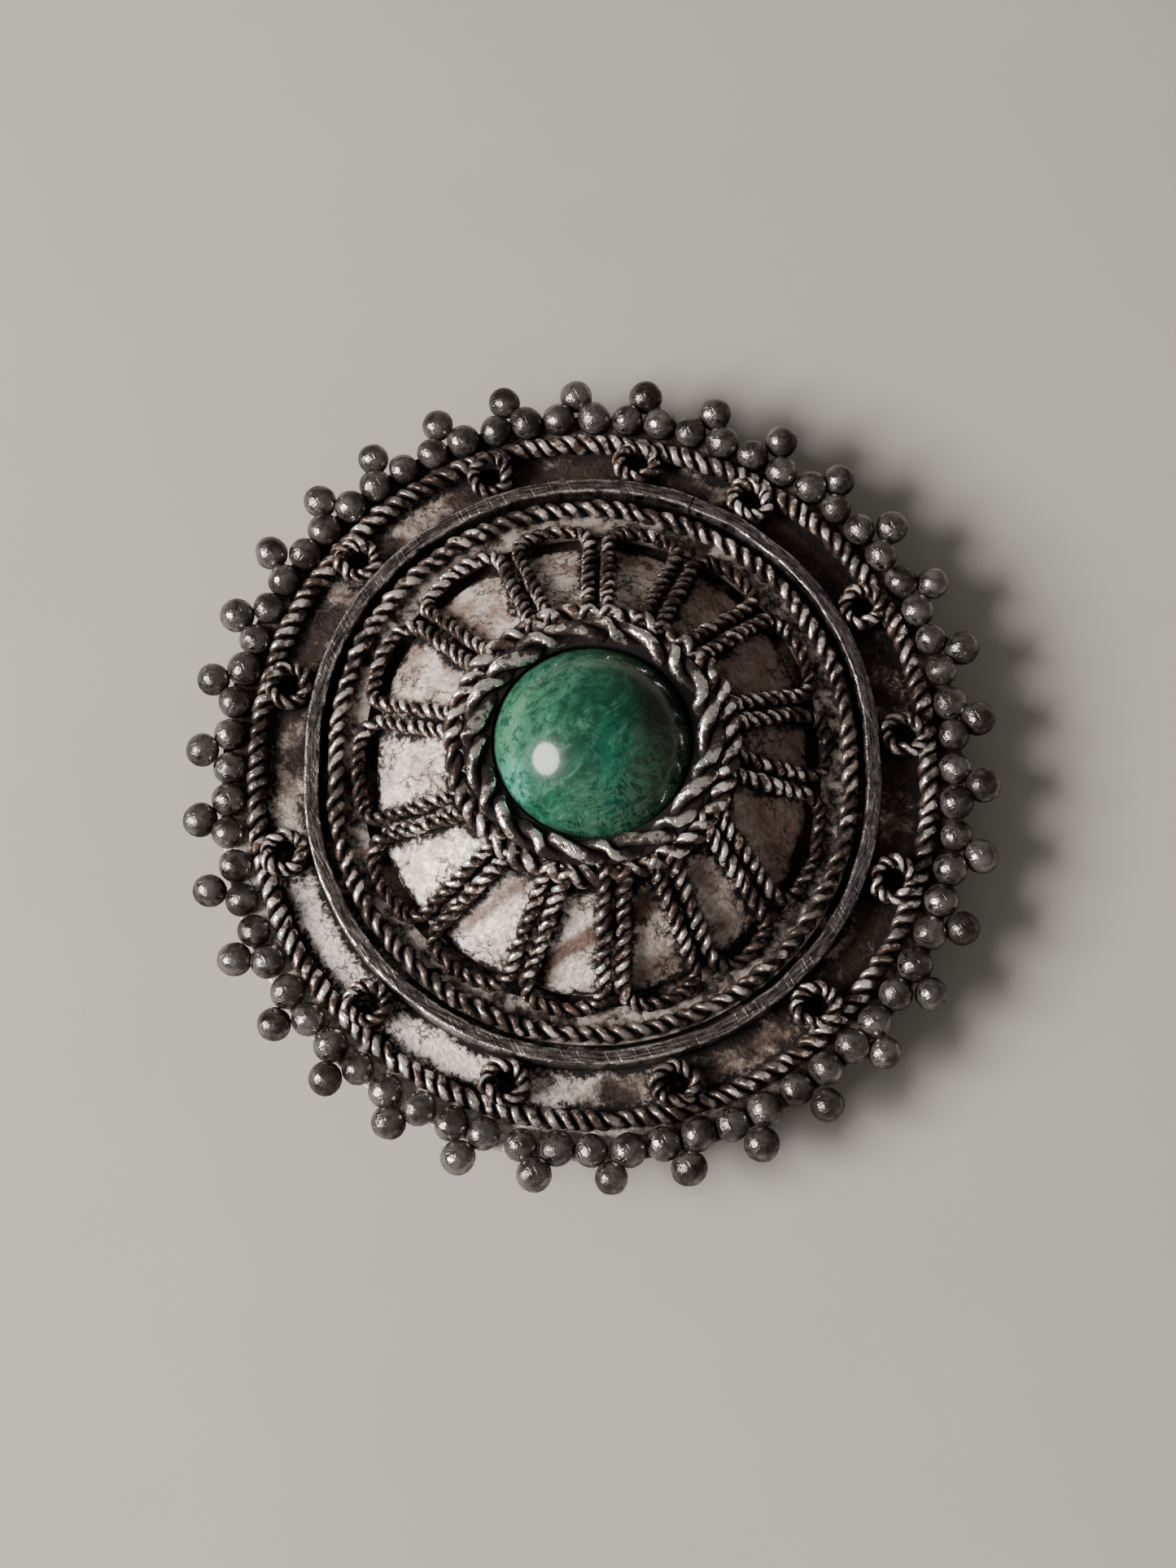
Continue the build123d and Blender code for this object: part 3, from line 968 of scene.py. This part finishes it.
# %% Petal paths
def rounded_path(corners, rounds):
    """Points along straight runs joined by arcs that touch both of them."""
    path = [corners[0]]
    for before, corner, after, radius in zip(corners, corners[1:], corners[2:], rounds):
        back, ahead = (before - corner).normalized(), (after - corner).normalized()
        opening = acos(max(-1, min(1, back.dot(ahead))))
        reach = radius / tan(opening / 2)
        centre = corner + (back + ahead).normalized() * radius / sin(opening / 2)
        start = corner + back * reach - centre
        turn = pi - opening
        hand = 1 if back.cross(ahead) < 0 else -1
        count = max(ceil(turn * radius / arc_step), 3)
        for index in range(count + 1):
            path.append(centre + Matrix.Rotation(hand * turn * index / count, 2) @ start)
    path.append(corners[-1])
    filled = [path[0]]
    for point in path[1:]:
        start = filled[-1]
        count = max(ceil((point - start).length / straight_step), 1)
        filled += [start + (point - start) * index / count for index in range(1, count + 1)]
    return filled


petal_paths = [rounded_path(petal_corners(index), petal_rounds) for index in range(len(spokes))]
print("petals:", len(petal_paths), "points in the first path:", len(petal_paths[0]))

# %% [markdown]
# ## Domed floor
#
# The floor was raised from sheet with a hammer over a stake. Its section is a shallow arc from the
# cup down to the rim, spun and stretched, with thickness below. Low noise gives it the uneven
# surface that hammering leaves. It is rubbed to a pale warm grey in the middle of each petal, and
# black along the petal walls, as patina and as painted shade. Its colour also has painted light at
# the lower left, painted shade towards the right, and brown bands across the lower petals. A tree
# of the path points finds the nearest wall to each point.

# %% Floor finish
def floor_light_shade_and_bands(coords, color):
    """Painted shade in brown towards the right, brown bands across the lower petals, and painted light,
    paler, at the lower left.
    """
    color = lay_colors(color, (
        # Painted light: paler towards the lower left.
        (side_mask(coords, lower_left, 1.0, 10.0, 4.0), 0.5, (0.86, 0.77, 0.70)),
        # Painted shade: brown towards the right.
        (side_mask(coords, (0.96, 0.3, 0), 2.5, 9.0, 6.0), 0.75, (0.20, 0.115, 0.086)),
    ))
    # Brown bands across the lower petals.
    shake = noise_node(turned_node(coords, radians(30), (0.35, 1, 1)), 700.0, 5.0, 0.6)
    across = coords.vector("DOT_PRODUCT", (-0.5 / mm, 0.87 / mm, 0), "Value") + shake * 1.4 - 0.7
    low = spot_mask(coords, (-0.5, -9.6, 5), (7.5, 4.0, 9))
    for middle, strength in ((-4.4, 0.85), (-8.7, 0.9), (-11.7, 0.8)):
        brown_band = ramp_node((across - middle).math("ABSOLUTE"), 0.8, 0.2) * low
        color = mix_color(brown_band * strength, color, (0.10, 0.047, 0.03))
    return color


floor_silver = silver("floor silver", (0.78, 0.68, 0.61), (0.34, 0.235, 0.19), rubbed=(0.08, 0.62),
                      uneven=0.75, rough=(0.42, 0.6), metal=0.35, clouds=650.0, specks=3200.0, seed=5.0,
                      bump=0.045 * mm, cracked=900.0, more=floor_light_shade_and_bands)

# %% Floor section
dome_rim = Vector((11.75, 1.0)) * mm
dome_crown = Vector((5.0, 4.3)) * mm
dome_camber = 0.55 * mm
dome_wall = 0.6 * mm
chord = dome_crown - dome_rim
upward = Vector((-chord.y, chord.x)).normalized()
upward *= 1 if upward.y > 0 else -1
dome_ball = (chord.length_squared / 4 + dome_camber ** 2) / (2 * dome_camber)
dome_centre = (dome_rim + dome_crown) / 2 - upward * (dome_ball - dome_camber)


def floor_height(radius):
    """The height of the floor's upper face over the oval of a radius."""
    return plate_top + dome_centre.y + sqrt(dome_ball ** 2 - (radius - dome_centre.x) ** 2)


print("the floor rises to", round((floor_height(dome_crown.x) - plate_top) / mm, 2), "mm over the plate")

# %% Floor
wall_tree = kdtree.KDTree(sum(len(path) for path in petal_paths))
for number, point in enumerate(point for path in petal_paths for point in path):
    wall_tree.insert((point.x, point.y, 0), number)
wall_tree.balance()


# Black near the petal wires, the cup and the rim: patina, and painted shade as well.
def floor_crest(place):
    """The way of a point of the floor from the petal wires, the cup and its own rim."""
    wall = wall_tree.find((place.x, place.y, 0))[2] - 0.3 * mm
    radius = oval_radius(place.x, place.y)
    cup = place.xy.length - cup_radius - 0.95 * mm
    rim = dome_rim.x - radius + 0.1 * mm
    return max(min(wall / (0.85 * mm), cup / (0.7 * mm), rim / (0.8 * mm), 1), 0)


def make_floor():
    """The floor as a bowl turned over."""
    rows = 34
    radii = [dome_rim.x + (dome_crown.x - dome_rim.x) * row / rows for row in range(rows + 1)]
    upper = [(radius, floor_height(radius)) for radius in radii]
    lower = [(radius, height - dome_wall) for radius, height in reversed(upper[::4] + [upper[-1]])]
    bm = stretch_to_oval(turn_profile(upper + lower, steps=300))
    for vert in bm.verts:
        broad, fine = noise.noise(vert.co / (2.0 * mm)), noise.noise(vert.co / (0.7 * mm))
        vert.co.z += 0.08 * mm * broad + 0.03 * mm * fine
    return sharpen(set_crest(bm, floor_crest), 50)


finish_piece("petal_floor", make_floor(), floor_silver, "petal_setting")

# %% [markdown]
# ## Petals
#
# The strip is drawn as a line of edges along the path, extruded upwards, and thickened. The wire is
# the straight twist again, bent along the same path at its height. The outer ends of the petals lie
# low behind the collar, and their crest values are lowered there as painted shade from the collar,
# apart from those at the upper left, which are made lighter instead.

# %% Petal walls
def make_petal_wall(path):
    """The strip of one petal, from the floor or the ledge up into its wire."""
    wall = bmesh.new()
    verts = []
    for point in path:
        radius = oval_radius(*point)
        foot = floor_height(radius) if radius < dome_rim.x else ledge_top
        verts.append(wall.verts.new((point.x, point.y, foot - 0.2 * mm)))
    edges = [wall.edges.new(pair) for pair in zip(verts, verts[1:])]
    risen = bmesh.ops.extrude_edge_only(wall, edges=edges)["geom"]
    for vert in [item for item in risen if isinstance(item, bmesh.types.BMVert)]:
        vert.co.z = petal_height(vert.co.x, vert.co.y) - solder_bite
    bmesh.ops.recalc_face_normals(wall, faces=wall.faces)
    for vert in wall.verts:
        vert.co += vert.normal * petal_wall / 2
    bmesh.ops.solidify(wall, geom=wall.faces, thickness=petal_wall)
    bmesh.ops.recalc_face_normals(wall, faces=wall.faces)
    return sharpen(set_crest(wall, lambda place: 0.22))


petal_walls = join(make_petal_wall(path) for path in petal_paths)
finish_piece("petal_walls", petal_walls, strip_silver, "petal_setting")

# %% Petal wires
def petal_painted_shade(place):
    """How much lower the crest value of a petal wire is at a place: painted shade behind the collar,
    turned into a lift at the upper left.
    """
    # Painted shade: the outer ends behind the collar are darkened as its shadow.
    collar_shadow = min(max((oval_radius(place.x, place.y) - 11.3 * mm) / (1.2 * mm), 0), 1)
    # At the upper left the outer ends are made lighter instead.
    lighter = max(Vector((-0.62, 0.78)).dot(place.xy.normalized()) - 0.75, 0) * 4
    return collar_shadow * (0.16 - 0.3 * lighter)


def make_petal_rope(path):
    """The twisted wire on the strip of one petal."""
    points = [Vector((p.x, p.y, petal_height(p.x, p.y))) for p in path]
    length = sum((b - a).length for a, b in zip(points, points[1:]))
    ends = zip([points[0]] + points[:-1], points[1:] + [points[-1]])
    sideways = [(after - before).cross(Vector((0, 0, 1))).normalized() for before, after in ends]
    rope = straight_twist(length, petal_wire, round(length / petal_lay), sides=9, steps=7, lumps=0.12)
    bend(rope, points, sideways, closed=False)
    crest = rope.verts.layers.float["crest"]
    for vert in rope.verts:
        vert[crest] -= petal_painted_shade(vert.co)
    return rope


petal_ropes = join(make_petal_rope(path) for path in petal_paths)
finish_piece("petal_ropes", petal_ropes, wire_silver, "petal_setting")

# %% [markdown]
# ## Cup
#
# The stone sits in a plain cup. A twisted wire goes round the outside of the cup, and a coarser
# one with a long lay lies on its lip and leans in over the edge of the stone. Its strands are
# pressed a little flat, and look like a row of leaves.

# %% Cup and its wires
cup_floor = 0.5 * mm
cup_skirt = 1.25 * mm


def make_cup():
    """The cup: a short tube with a floor across it."""
    bottom = cup_seat - cup_skirt
    bm = turn_profile([(0, cup_seat), (cup_bore, cup_seat), (cup_bore, cup_lip), (cup_radius, cup_lip),
                       (cup_radius, bottom), (cup_bore, bottom), (cup_bore, cup_seat - cup_floor),
                       (0, cup_seat - cup_floor)], steps=128, closed=False)
    return sharpen(set_crest(bm, lambda place: -0.25))


finish_piece("stone_cup", make_cup(), strip_silver, "petal_setting")
cup_wire = 1.2 * mm
cup_rope = ring_twist(cup_wire, cup_radius + 0.48 * mm, Vector((0, 0, cup_lip - 0.4 * mm)), 21,
                      wander=0.04 * mm, sides=12, steps=9)
finish_piece("cup_rope", cup_rope, wire_silver, "petal_setting")
crown_wire = 1.5 * mm
crown_radius = 6.24 * mm
crown_rope = ring_twist(crown_wire, crown_radius, Vector((0, 0, cup_lip + 0.08 * mm)), 10,
                        wander=0.08 * mm, sides=14, steps=18, flat=0.8, uneven=0.07, lumps=0.09)
finish_piece("crown_rope", crown_rope, crown_silver, "petal_setting")

# %% [markdown]
# ## Stone
#
# The stone is a cabochon: a low straight girdle and a polished dome. A quarter arc of points is
# spun round, closed at the top. Its green is a mix of copper minerals: sage at the upper left,
# emerald in the middle, turquoise at the lower left edge, and black and brown matter at the right.
# So its colour starts as clouds, each mineral is laid in where it lies, and fibres and fine dark
# flecks run through them all.

# %% Stone finish
def color_stone(coords):
    """The greens: clouds, then the minerals where they lie, then fibres and flecks."""
    clouds = ramp_node(noise_node(coords, 210.0, 6.0, 0.6, 1.0), 0.36, 0.62)
    fibres = noise_node(turned_node(coords, radians(52), (0.45, 1, 1)), 680.0, 9.0, 0.8, 0.8)
    flecks = noise_node(coords, 1700.0, 8.0, 0.74, 0.5)
    return lay_colors(mix_color(clouds, (0.0015, 0.034, 0.018), (0.003, 0.088, 0.046)), (
        # mask, strength, colour
        (side_mask(coords, (-0.8, 0.5, 0.1), 0.3, 5.0, 2.5), 0.75, (0.048, 0.155, 0.09)),
        (side_mask(coords, (0.1, -1, 0), 2.6, 5.4, 2.0), 0.55, (0.045, 0.12, 0.077)),
        (spot_mask(coords, (1.0, -3.0, 11.4), (0.7, 2.0, 6), 1.0, 0.5), 0.7, (0.001, 0.11, 0.07)),
        (spot_mask(coords, (-4.2, -2.8, 9.5), (0.7, 1.5, 3), 1.2, 0.5), 0.7, (0.07, 0.32, 0.24)),
        (ramp_node(fibres, 0.5, 0.62), 0.4, (0.10, 0.24, 0.165)),
        (ramp_node(fibres, 0.5, 0.36), 0.75, (0.002, 0.022, 0.015)),
        (ramp_node(flecks, 0.51, 0.4), 0.75, (0.002, 0.026, 0.017)),
    ))

# %% [markdown]
# Dark matter runs through the stone as a broad patch at the right, a web of fine threads at the
# lower right, and one thread down the middle. The web is the border between the cells of a
# distorted pattern, kept only where its patch lies.

# %% Stone's dark matter
def darken_stone(coords, color):
    """Lay the black and brown matter in, with a dark and a pale web and the thread."""
    patch = spot_mask(coords, (3.3, 1.0, 11.2), (1.0, 2.1, 4), 1.5, 0.7, 500.0)
    edge = side_mask(coords, (0.98, -0.1, 0), 1.9, 4.3, 1.8)
    brown = spot_mask(coords, (3.2, -2.1, 10.8), (1.3, 1.9, 4), 1.2, 0.6, 500.0)
    low = side_mask(coords, (0.66, -0.75, 0), 0.6, 4.2, 2.5)
    webs = [ramp_node((noise_node(coords, scale, 6.0, 0.66, 1.8) - 0.5).math("ABSOLUTE"), 0.06, 0.0) * low
            for scale in (420.0, 500.0)]
    thread = spot_mask(coords, (0.12, 0.7, 12.3), (0.2, 1.3, 4), 2.6, 1.0, 1300.0)
    return lay_colors(color, ((patch, 0.97, (0.001, 0.004, 0.003)), (edge, 0.92, (0.003, 0.009, 0.006)),
                              (brown, 0.5, (0.055, 0.08, 0.048)), (webs[0], 0.75, (0.002, 0.009, 0.006)),
                              (webs[1], 0.75, (0.05, 0.12, 0.075)), (thread, 0.7, (0.004, 0.03, 0.02))))


def polish_stone():
    """The stone's material, with a clear polish over its colours."""
    material, shader, coords = new_material("green stone")
    fill_inputs(shader, Base_Color=darken_stone(coords, color_stone(coords)), Roughness=0.36,
                Specular_IOR_Level=0.15, Coat_Weight=0.6, Coat_Roughness=0.11, IOR=1.5,
                Normal=bump_node(noise_node(coords, 900.0, 5.0, 0.65), 0.02 * mm, 0.4))
    return material


green_stone = polish_stone()
print("stone finish made with", len(green_stone.node_tree.nodes), "nodes")

# %% Stone shape
def make_stone():
    """The cabochon."""
    rows, foot_round = 30, 0.1 * mm
    edge_angle = atan2(stone_base + girdle - stone_middle, stone_radius)
    profile = [(0, stone_base), (stone_radius - foot_round, stone_base),
               (stone_radius, stone_base + foot_round)]
    for row in range(rows):
        angle = edge_angle + (pi / 2 - edge_angle) * row / rows
        profile.append((stone_ball * cos(angle), stone_middle + stone_ball * sin(angle)))
    profile.append((0, stone_top))
    return sharpen(turn_profile(profile, steps=120, closed=False), 40)


finish_piece("cabochon", make_stone(), green_stone, "eilat_stone")

# %% [markdown]
# ## Pin
#
# The back is plain: the solid of the pin has the right shape, so it stays and gets its finish. It
# has no crest values, which the finish reads as 0, so its black starts below that.

# %% Pin finish
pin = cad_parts["pin_back"]
pin.material_slots[0].material = pin_silver
print("pin slots:", len(pin.material_slots))

# %% [markdown]
# ## Ground, light and camera
#
# The brooch lies on a plain pale floor, with one large soft light from the left, as from a window,
# and a weak fill. The camera looks down from the lower side, 17 degrees off the upright, from 130
# millimetres away. That distance and tilt were worked out from how the rings narrow and shift in
# the picture.

# %% Ground
def make_ground():
    """A wide pale floor."""
    material, shader, coords = new_material("pale ground")
    color = mix_color(noise_node(coords, 60.0, 3.0), (0.36, 0.341, 0.31), (0.40, 0.379, 0.347))
    fill_inputs(shader, Base_Color=color, Roughness=0.9)
    bm = bmesh.new()
    bmesh.ops.create_grid(bm, x_segments=8, y_segments=8, size=4.0)
    add_object("ground", bm, material)


make_ground()

# %% Lights
def from_angles(azimuth, elevation, distance):
    """A place at a distance, at an azimuth from +X and an elevation in degrees."""
    around, up = radians(azimuth), radians(elevation)
    return distance * Vector((cos(up) * cos(around), cos(up) * sin(around), sin(up)))


def add_area_light(name, place, size, power, color):
    """A round soft light at a place, turned towards the stone."""
    data = bpy.data.lights.new(name, "AREA")
    data.shape = "DISK"
    data.size = size
    data.energy = power
    data.color = color
    light = bpy.data.objects.new(name, data)
    light.location = place
    light.rotation_euler = (Vector((0, 0, 8 * mm)) - place).to_track_quat("-Z", "Y").to_euler()
    bpy.context.scene.collection.objects.link(light)


add_area_light("window", from_angles(197, 37, 0.45), 0.24, 5.3, (1.0, 0.965, 0.93))
add_area_light("fill", from_angles(250, 50, 0.8), 0.9, 0.5, (1.0, 0.98, 0.95))
world = bpy.data.worlds.new("room")
world.use_nodes = True
fill_inputs(world.node_tree.nodes["Background"], Color=(1.0, 0.97, 0.93), Strength=0.2)
bpy.context.scene.world = world

# %% Camera
image_height = 1926
camera_tilt = radians(16.8)
camera_distance = 130 * mm
pixels_per_mm = 22.4
sensor = 36.0
aim = Vector((-0.24 * mm, -0.94 * mm, plate_top + grain_rise))
camera_data = bpy.data.cameras.new("camera")
camera_data.sensor_fit = "VERTICAL"
camera_data.sensor_height = sensor
camera_data.lens = pixels_per_mm * (camera_distance / mm) / image_height * sensor
camera_data.clip_start = 0.005
camera = bpy.data.objects.new("camera", camera_data)
back = Vector((0, -sin(camera_tilt), cos(camera_tilt)))
camera.location = aim + back * camera_distance
camera.rotation_euler = back.to_track_quat("Z", "Y").to_euler()
bpy.context.scene.collection.objects.link(camera)
bpy.context.scene.camera = camera
print("camera lens", round(camera_data.lens, 1), "mm")
